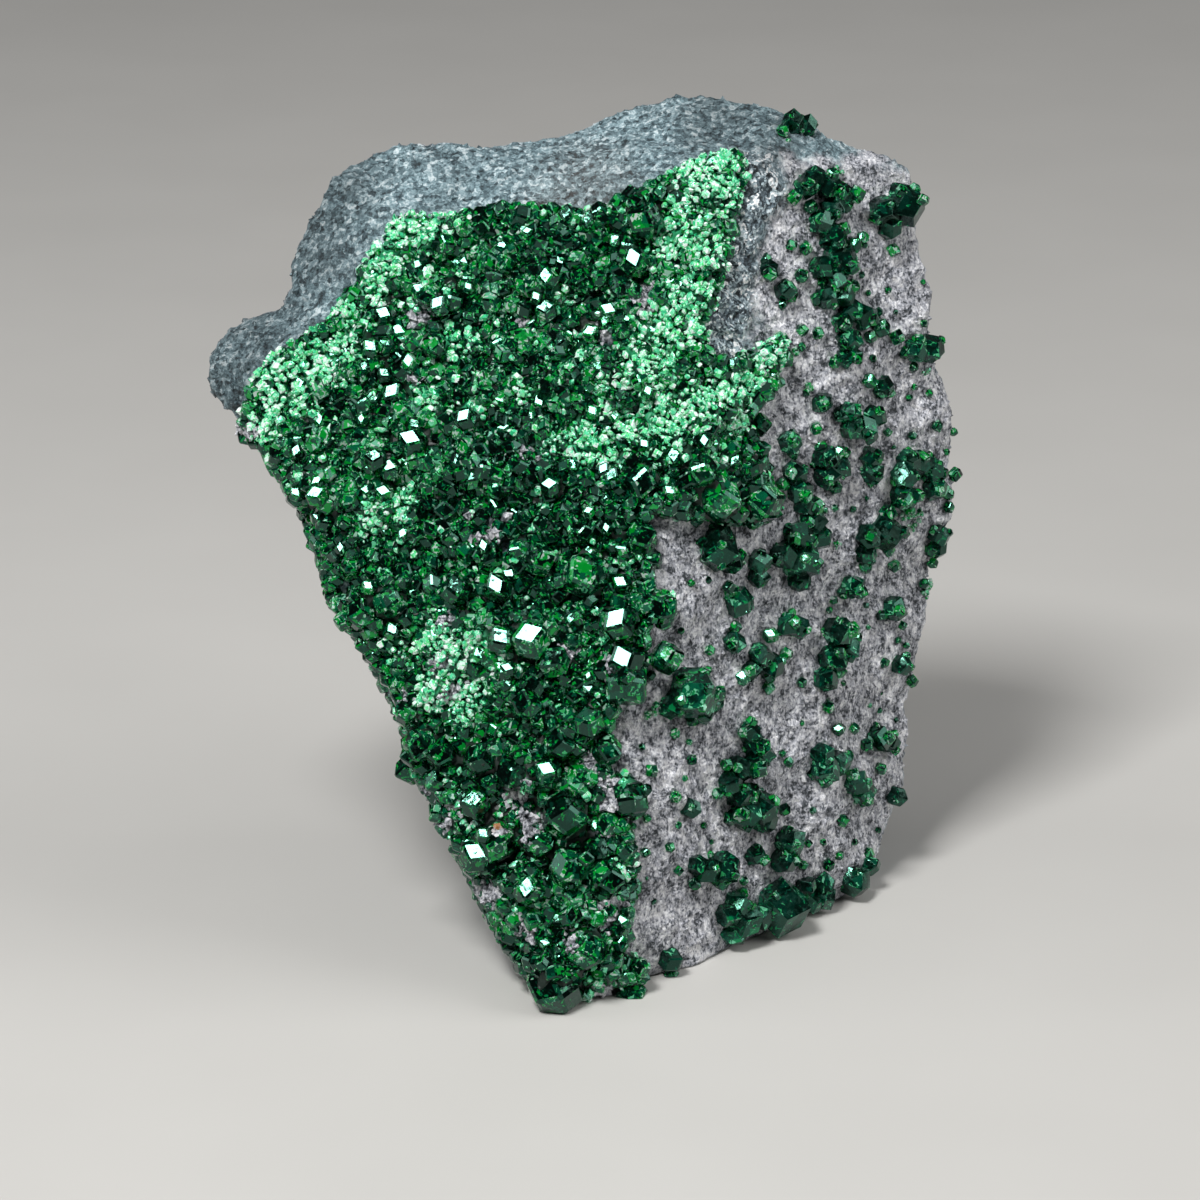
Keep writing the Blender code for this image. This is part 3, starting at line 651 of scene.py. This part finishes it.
def garnet_finish(name, greens, clear, patch, melt, broken, roughest):
    """Garnet of one habit. Its greens run from the near black of dark crystals and of painted shade to the
    painted light of a lit plane. The rest says how clear it is, how many millimetres wide the planes inside
    it are, how softly they melt together, and how broken and how rough its faces are."""
    made, tree = finish(name)
    place = of_place(tree)
    # each face looks in on other planes, so the pattern is read further in along the face's own direction
    inwards = add(tree, "ShaderNodeNewGeometry").outputs["True Normal"]
    inside = add(tree, "ShaderNodeVectorMath", {0: inwards, 1: (3.7, 3.7, 3.7), 2: place},
                 operation="MULTIPLY_ADD")
    wobble = add(tree, "ShaderNodeTexNoise", {"Vector": inside, "Scale": 2.6, "Detail": 2.0})
    bent = add(tree, "ShaderNodeVectorMath", {0: wobble.outputs["Color"], 1: (0.5, 0.5, 0.5), 2: inside},
               operation="MULTIPLY_ADD")
    planes = add(tree, "ShaderNodeTexVoronoi", {"Vector": bent, "Scale": 1 / patch, "Smoothness": melt},
                 feature="SMOOTH_F1")
    crumbs = add(tree, "ShaderNodeTexVoronoi", {"Vector": bent, "Scale": 2.4 / patch})
    plane = add(tree, "ShaderNodeSeparateColor", {0: planes.outputs["Color"]}).outputs
    crumb = add(tree, "ShaderNodeSeparateColor", {0: crumbs.outputs["Color"]}).outputs
    # a crystal has its own tone and each of its faces too, and in some planes it flashes with a painted
    # highlight
    tone = add(tree, "ShaderNodeAttribute", attribute_name="tone").outputs["Fac"]
    facet = add(tree, "ShaderNodeAttribute", attribute_name="facet").outputs["Fac"]
    lit = add(tree, "ShaderNodeMath", {0: plane[0], 1: 0.38}, operation="MULTIPLY")
    lit = add(tree, "ShaderNodeMath", {0: tone, 1: 0.3, 2: lit}, operation="MULTIPLY_ADD")
    lit = add(tree, "ShaderNodeMath", {0: facet, 1: 0.33, 2: lit}, operation="MULTIPLY_ADD")
    flash = add(tree, "ShaderNodeMath", {0: plane[1], 1: crumb[1]}, operation="MULTIPLY")
    flash = add(tree, "ShaderNodeMapRange", {0: flash, 1: 0.5, 2: 0.62, 3: 0.0, 4: 0.28})
    lit = add(tree, "ShaderNodeMath", {0: lit, 1: flash}, operation="ADD")
    # painted light comes back along its cracks, half a millimetre apart, and along edges of faces that lie
    # behind
    cracks = add(tree, "ShaderNodeTexVoronoi", {"Vector": bent, "Scale": 2.0}, feature="DISTANCE_TO_EDGE")
    line = add(tree, "ShaderNodeMapRange", {0: cracks, 1: 0.02, 2: 0.1, 3: 0.32, 4: 0.0})
    often = add(tree, "ShaderNodeMath", {0: crumb[2], 1: 0.74}, operation="GREATER_THAN")
    lit = add(tree, "ShaderNodeMath", {0: line, 1: often, 2: lit}, operation="MULTIPLY_ADD")
    colour = add(tree, "ShaderNodeValToRGB", {0: lit}, stops=greens)
    growth = add(tree, "ShaderNodeTexNoise", {"Vector": place, "Scale": 4.0, "Detail": 3.0})
    relief = add(tree, "ShaderNodeBump", {
        "Height": growth, "Strength": 0.15, "Distance": 0.03 * MM,
        "Normal": aslant(tree, crumbs.outputs["Color"], broken),
    })
    rough = add(tree, "ShaderNodeMapRange", {0: growth, 1: 0.3, 2: 0.7, 3: 0.03, 4: roughest})
    shader = add(tree, "ShaderNodeBsdfPrincipled", {
        "Base Color": colour, "Roughness": rough, "IOR": GARNET_IOR, "Specular Tint": linear("#8cd8be"),
        "Transmission Weight": clear, "Normal": relief,
    })
    depth = add(tree, "ShaderNodeVolumeAbsorption", {"Color": linear("#1fd08a"), "Density": 1500.0})
    add(tree, "ShaderNodeOutputMaterial", {"Surface": shader, "Volume": depth})
    return made


# grown and never polished: nearly black glass, in which vivid and bluish greens light up plane by plane as
# painted light, up to white painted glints
garnet_glass = garnet_finish("uvarovite garnet", [
    (0.3, "#000403"), (0.44, "#00190f"), (0.56, "#033f2e"), (0.64, "#08774f"), (0.68, "#00a02c"),
    (0.79, "#14bc4c"), (0.88, "#74d8aa"), (0.98, "#dff5ea"),
], clear=0.5, patch=0.42, melt=0.08, broken=0.05, roughest=0.12)

# the same mineral in crumbs too small to be dark: a sugary mint green that sparkles with its broken faces and
# with painted glints
mint_glass = garnet_finish("fine-grained uvarovite", [
    (0.14, "#012a18"), (0.25, "#0c8c54"), (0.36, "#40cf92"), (0.48, "#8af0c0"), (0.56, "#4ae678"),
    (0.64, "#b8f8da"), (0.76, "#f6fffc"),
], clear=0.12, patch=0.25, melt=0.1, broken=0.35, roughest=0.2)

# the bed of the crust, and the part of it that takes crystals: its front, without the back in the rock
crust = merged("garnet_druse")
is_front = crust.verts.layers.float.new("front")
for vertex in crust.verts:
    _, normal, _, away = rock_surface.find_nearest(vertex.co)
    vertex[is_front] = away > FRONT_AWAY or vertex.normal.dot(normal) > FRONT_FACING
    vertex.co -= normal * (min(BED_SUNK, max(away - BACK_AWAY, 0)) if vertex[is_front] else ROOTED + away)
    vertex.co.z = max(vertex.co.z, BED_FOOT)
bmesh.ops.subdivide_edges(crust, edges=crust.edges, cuts=2, use_grid_fill=True)
ground = crust.copy()
is_front = ground.verts.layers.float["front"]
back = [face for face in ground.faces if min(vertex[is_front] for vertex in face.verts) < 0.5]
bmesh.ops.delete(ground, geom=back, context="FACES")
ground_surface = BVHTree.FromBMesh(ground)
ground_object = stand_in("ground", ground)
ground_points = per_point(ground_object.data, "co")
ground_pixels = pixels_of(ground_points)
broken = np.array([noise.noise(Vector(place) / PATCH_BREAK) for place in ground_points])
mint = patches(ground_pixels, MINT_PATCHES) * np.clip(PATCH_WHOLE + broken * PATCH_SWING, 0, 1)
paint(ground_object.data, "mint", mint)
# painted shade in the hollows of the crust, which darkens their crystals
paint(ground_object.data, "deep", patches(ground_pixels, VALLEY_SHADE_PATCHES))

large_seats = [
    (seated(rock_surface, x, y, width, LARGE_OVER_ROCK), width) for x, y, width in LARGE_CRYSTALS
]
bright_seats = [lit_seat(ground_surface, x, y, size, FACE_PROUD) for x, y, size in BRIGHT_FACES]
taken = np.zeros(len(ground_points))
for centre, width in large_seats + bright_seats:
    near = np.linalg.norm(ground_points - np.array(centre), axis=1) < width * KEEPS_CLEAR
    taken = np.maximum(taken, near)
bare = patches(ground_pixels, BARE_PATCHES)
open_ground = (1 - bare) * (1 - taken) * (ground_points[:, 2] > CRYSTALS_FROM)

# three coats, each of smaller crystals in the gaps of the one before, and grains of rock where it is bare
sharp_form = stand_in("sharp_garnet", garnet_form(0.0))
bevelled_form = stand_in("bevelled_garnet", garnet_form(BEVEL))
main_room = open_ground * np.clip(1.15 - mint, MAIN_IN_MINT, 1)
main_coat = grow("main coat", ground_object, main_room, **{
    "Form": bevelled_form, "Spacing": 0.63, "Narrowest": 0.8, "Widest": 1.36, "Sunk": 0.06, "Uneven": 0.12,
    "Mint shrinks": 0.45, "Seed": 3, "Finish": garnet_glass,
})
set_out("crust_crystals", main_coat, ["garnet_druse"])
small_coat = grow("small coat", ground_object, open_ground, **{
    "Form": sharp_form, "Spacing": 0.42, "Narrowest": 0.4, "Widest": 0.7, "Sunk": 0.0, "Uneven": 0.2,
    "Mint shrinks": 0.35, "Seed": 7, "Finish": garnet_glass,
})
set_out("crust_small_crystals", small_coat, [])
fine_room = open_ground * np.clip(mint * 1.2 + FINE_OUTSIDE, 0, 1)
fine_coat = grow("fine coat", ground_object, fine_room, **{
    "Form": sharp_form, "Spacing": 0.17, "Narrowest": 0.14, "Widest": 0.46, "Sunk": -0.28, "Uneven": 0.45,
    "Mint shrinks": 0.1, "Seed": 12, "Finish": mint_glass,
})
set_out("crust_fine_crystals", fine_coat, [])
paint(ground_object.data, "pale", np.ones(len(ground_points)))
paint(ground_object.data, "rusty", patches(ground_pixels, RUST_SPECK) > 0)
bare_grains = grow("bare grains", ground_object, bare > 0, **{
    "Form": octahedron_form, "Spacing": 0.2, "Narrowest": 0.25, "Widest": 0.75, "Sunk": -0.12, "Uneven": 0.3,
    "Mint shrinks": 0.0, "Seed": 4, "Finish": rock_finish,
})
set_out("crust_bare_grains", bare_grains, [])

# the larger crystals and the ones with a bright face, each at its own place
dice = random.Random(5)


def crystal_group():
    """An empty mesh for crystals, with the tone of each and of each of its faces."""
    group = bmesh.new()
    group.verts.layers.float.new("tone")
    group.faces.layers.float.new("facet")
    return group


def add_crystal(group, form, centre, width, turn, tone):
    """Adds one crystal to a group, with its own tone."""
    first = len(group.verts)
    first_face = len(group.faces)
    group.from_mesh(form.data)
    group.verts.ensure_lookup_table()
    group.faces.ensure_lookup_table()
    stretch = Vector([dice.uniform(0.94, 1.06) for _ in range(3)])
    for vertex in group.verts[first:]:
        vertex.co = centre + turn @ (vertex.co * stretch * width)
        vertex[group.verts.layers.float["tone"]] = tone
    for face in group.faces[first_face:]:
        face[group.faces.layers.float["facet"]] = dice.random()


def any_turn():
    """A random turn."""
    return Euler([dice.uniform(0, 2 * math.pi) for _ in range(3)]).to_quaternion()


def face_to_light():
    """A turn that brings one face of a crystal round to mirror the key light."""
    spin = Quaternion(BISECTOR, dice.uniform(0, 2 * math.pi))
    return spin @ Vector((1, 1, 0)).rotation_difference(BISECTOR)


def set_out_group(name, group, nodes, material):
    """A group of crystals as a finished piece."""
    mesh = bpy.data.meshes.new(name)
    group.to_mesh(mesh)
    set_out(name, mesh, nodes, material)


large = crystal_group()
for centre, width in large_seats:
    add_crystal(large, bevelled_form, centre, width, any_turn(), dice.uniform(0, 0.6))
for centre, width in bright_seats:
    add_crystal(large, bevelled_form, centre, width, face_to_light(), dice.uniform(0, 0.8))
set_out_group("crust_large_crystals", large, [], garnet_glass)

# what shows between the crystals: painted shade in dark green, a lighter green under the mint, grey where
# rock is bare
bed_finish, tree = finish("matrix between the garnets")
colour, cells, _, _ = chromite(tree, of_place(tree))
share = add(tree, "ShaderNodeAttribute", attribute_name="mint").outputs["Fac"]
green = add(tree, "ShaderNodeMix", {0: share, 6: linear("#021a10"), 7: linear("#2fa873")}, data_type="RGBA")
share = add(tree, "ShaderNodeAttribute", attribute_name="bare").outputs["Fac"]
colour = add(tree, "ShaderNodeMix", {0: share, 6: green.outputs[2], 7: colour}, data_type="RGBA")
shader = add(tree, "ShaderNodeBsdfPrincipled", {
    "Base Color": colour.outputs[2], "Roughness": 0.5, "Normal": aslant(tree, cells, 0.9),
})
add(tree, "ShaderNodeOutputMaterial", {"Surface": shader})

bed_mesh = bpy.data.meshes.new("crust_bed")
crust.to_mesh(bed_mesh)
bed_pixels = pixels_of(per_point(bed_mesh, "co"))
bared = np.clip(patches(bed_pixels, BARE_PATCHES) * 3, 0, 1)
paint(bed_mesh, "bare", bared)
paint(bed_mesh, "pale", bared)
paint(bed_mesh, "mint", patches(bed_pixels, MINT_PATCHES))
set_out("crust_bed", bed_mesh, [], bed_finish)


# The garnets of the right face
# Single crystals and groups of the same garnet, up to 3 mm across, grown on the bare skin. Each keeps its
# solid's shape: its root is run down into the rock, and its edges get the narrow faces that garnets have.

EDGE_FACE = 0.055      # width of those faces
ROOT_AWAY = 0.23       # how near to the rock the root of a solid lies
ROOT_RUN = 0.45        # how far it is run down
SHARP = 0.3            # how far two faces turn at an edge that gets such a face
OVERGROWN_FROM = 0.5   # height over the table at which small crystals begin on the large ones
OVERGROWN_OVER = 5     # height over which they come in

# older and thicker than the crust: large dull planes of bottle green, with few painted lights in them
old_garnet = garnet_finish("uvarovite garnet of the right face", [
    (0.28, "#000604"), (0.48, "#011d15"), (0.61, "#03392d"), (0.72, "#066446"), (0.82, "#08984c"),
    (0.95, "#7fdcb0"),
], clear=0.35, patch=0.6, melt=0.35, broken=0.05, roughest=0.3)

right_face = crystal_group()
groups = [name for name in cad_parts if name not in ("chromite_matrix", "garnet_druse")]
for name in groups:
    shape = merged(name)
    roots = set()
    for vertex in shape.verts:
        _, normal, _, away = rock_surface.find_nearest(vertex.co)
        if away < ROOT_AWAY:
            vertex.co -= normal * ROOT_RUN
            roots.add(vertex)
    bmesh.ops.dissolve_limit(shape, angle_limit=0.03, verts=shape.verts, edges=shape.edges)
    shape.normal_update()
    sharp = [
        edge for edge in shape.edges
        if len(edge.link_faces) == 2 and edge.calc_face_angle_signed(0) > SHARP
        and not all(vertex in roots for vertex in edge.verts)
    ]
    bmesh.ops.bevel(shape, geom=sharp, offset=EDGE_FACE, segments=1, profile=0.5, affect="EDGES",
                    clamp_overlap=True)
    tone = shape.verts.layers.float.new("tone")
    facet = shape.faces.layers.float.new("facet")
    own = dice.uniform(0.05, 0.65)
    for vertex in shape.verts:
        vertex[tone] = own
    for face in shape.faces:
        face[facet] = dice.uniform(0.1, 0.8)
    mesh = bpy.data.meshes.new(name)
    shape.to_mesh(mesh)
    right_face.from_mesh(mesh)
    bpy.data.meshes.remove(mesh)

# small crystals that have grown on the larger ones, on the sides that are seen
host = stand_in("host", right_face)
host_points = per_point(host.data, "co")
outward = per_point(host.data, "normal") @ np.array(AHEAD) < 0.3
paint(host.data, "mint", np.zeros(len(host_points)))
host_room = outward * np.clip((host_points[:, 2] - OVERGROWN_FROM) / OVERGROWN_OVER, 0, 1)
overgrowth = grow("overgrowth", host, host_room, **{
    "Form": bevelled_form, "Spacing": 1.0, "Narrowest": 0.4, "Widest": 0.95, "Sunk": 0.16, "Uneven": 0.15,
    "Mint shrinks": 0.0, "Seed": 21, "Finish": garnet_glass,
})
set_out_group("right_face_garnets", right_face, groups, old_garnet)
set_out("right_face_overgrowth", overgrowth, [])


# The small garnets of the right face
# The same garnet in crystals of less than a millimetre, scattered over the bare skin, too small for solids.
# Most stand alone, and some are clumps of pale green crumbs. Places and sizes are in pixels.

PROUD_OF_ROCK = 0.5    # how far a bright face stands over the rock
CRUMBS = 7             # crystals in a clump
CRUMB_RAISED = 0.05
SMALL_GARNETS = [
    (791, 197, 16), (808, 207, 16), (804, 248, 14), (790, 245, 12), (850, 287, 16), (800, 276, 16),
    (816, 333, 14), (800, 330, 14), (868, 337, 14), (895, 337, 16), (833, 362, 14), (863, 245, 8),
    (891, 250, 14), (781, 305, 10), (860, 275, 8), (867, 293, 7), (887, 290, 8), (922, 282, 6),
    (922, 323, 9), (895, 312, 6), (877, 312, 10), (778, 340, 18), (911, 366, 12), (871, 358, 9),
    (800, 347, 10), (888, 392, 12), (782, 358, 20), (775, 370, 10), (778, 382, 12), (805, 393, 8),
    (886, 432, 10), (814, 428, 14), (791, 452, 14), (757, 425, 22), (745, 430, 18), (750, 445, 14),
    (833, 486, 16), (842, 452, 14), (781, 484, 14), (912, 387, 8), (908, 398, 8), (928, 393, 9),
    (935, 425, 13), (911, 435, 10), (945, 452, 8), (955, 430, 10), (952, 474, 16), (946, 494, 14),
    (780, 505, 5), (823, 510, 8), (833, 508, 8), (852, 509, 8), (866, 498, 5), (893, 447, 5),
    (885, 512, 20), (902, 533, 12), (922, 583, 12), (930, 561, 14), (863, 565, 16), (892, 565, 14),
    (841, 592, 14), (832, 600, 10), (828, 610, 8), (865, 605, 7), (879, 615, 12), (901, 625, 10),
    (867, 627, 6), (897, 640, 8), (905, 645, 8), (882, 662, 12), (905, 655, 10), (910, 680, 14),
    (731, 589, 13), (733, 627, 14), (680, 630, 8), (677, 615, 5), (690, 583, 8), (707, 580, 8),
    (790, 612, 10), (708, 650, 12), (706, 670, 10), (766, 687, 14), (784, 653, 14), (650, 675, 10),
    (855, 637, 12), (800, 682, 12), (842, 683, 7), (826, 706, 14), (801, 723, 6), (838, 728, 12),
    (852, 728, 12), (864, 745, 16), (895, 720, 6), (878, 768, 14), (868, 705, 7), (878, 710, 7),
    (880, 693, 5), (845, 756, 14), (840, 820, 14), (812, 810, 8), (822, 842, 8), (807, 843, 9),
    (853, 842, 8), (877, 830, 7), (781, 753, 8), (787, 762, 11), (724, 764, 14), (715, 793, 14),
    (751, 790, 18), (782, 809, 14), (673, 733, 12), (688, 742, 7), (641, 747, 8), (690, 760, 12),
    (650, 770, 14), (683, 778, 7), (673, 796, 14), (677, 825, 8), (702, 825, 8), (646, 818, 9),
    (633, 826, 7), (710, 842, 6), (668, 847, 11), (644, 852, 11), (677, 870, 10), (692, 883, 14),
    (742, 880, 10), (740, 893, 14), (801, 865, 12), (803, 896, 12), (826, 864, 14), (838, 855, 10),
    (646, 878, 5), (652, 900, 8), (781, 133, 14), (801, 125, 16), (809, 132, 12),
]
BRIGHT_FACES_RIGHT = [
    (853, 242, 10), (862, 235, 8), (838, 268, 14), (880, 325, 12), (868, 378, 10), (880, 385, 14),
    (797, 492, 10), (824, 452, 9), (838, 450, 8), (948, 505, 8), (728, 585, 8), (770, 633, 10),
    (742, 675, 10), (838, 728, 8), (864, 798, 9), (762, 757, 8), (670, 972, 10),
]
LIGHT_CLUMPS = [
    (835, 172, 10), (809, 387, 12), (835, 545, 8), (905, 517, 10), (918, 515, 10), (930, 587, 12),
    (654, 708, 12), (762, 757, 10), (788, 350, 10), (776, 348, 9), (925, 372, 8), (912, 524, 9),
    (924, 594, 10), (648, 715, 9), (785, 136, 10), (797, 130, 10), (809, 126, 9),
]

small_garnets = crystal_group()
for x, y, size in SMALL_GARNETS:
    width = size * PIXEL
    centre = seated(rock_surface, x, y, width, 0.0)
    add_crystal(small_garnets, bevelled_form, centre, width, any_turn(), dice.uniform(0.1, 0.9))
for x, y, size in BRIGHT_FACES_RIGHT:
    centre, width = lit_seat(rock_surface, x, y, size, PROUD_OF_ROCK)
    add_crystal(small_garnets, bevelled_form, centre, width, face_to_light(), dice.uniform(0.1, 0.9))
for x, y, size in LIGHT_CLUMPS:
    for _ in range(CRUMBS):
        width = size * PIXEL * dice.uniform(0.3, 0.6)
        across = x + dice.gauss(0, size / 4)
        down = y + dice.gauss(0, size / 4)
        centre = seated(rock_surface, across, down, width, CRUMB_RAISED)
        add_crystal(small_garnets, sharp_form, centre, width, any_turn(), dice.uniform(1.2, 2.0))
set_out_group("right_face_small_garnets", small_garnets, [], garnet_glass)


# The end
# What only lent its shape goes.

for thing in (rock_ground, ground_object, host, octahedron_form, sharp_form, bevelled_form):
    bpy.data.objects.remove(thing, do_unlink=True)
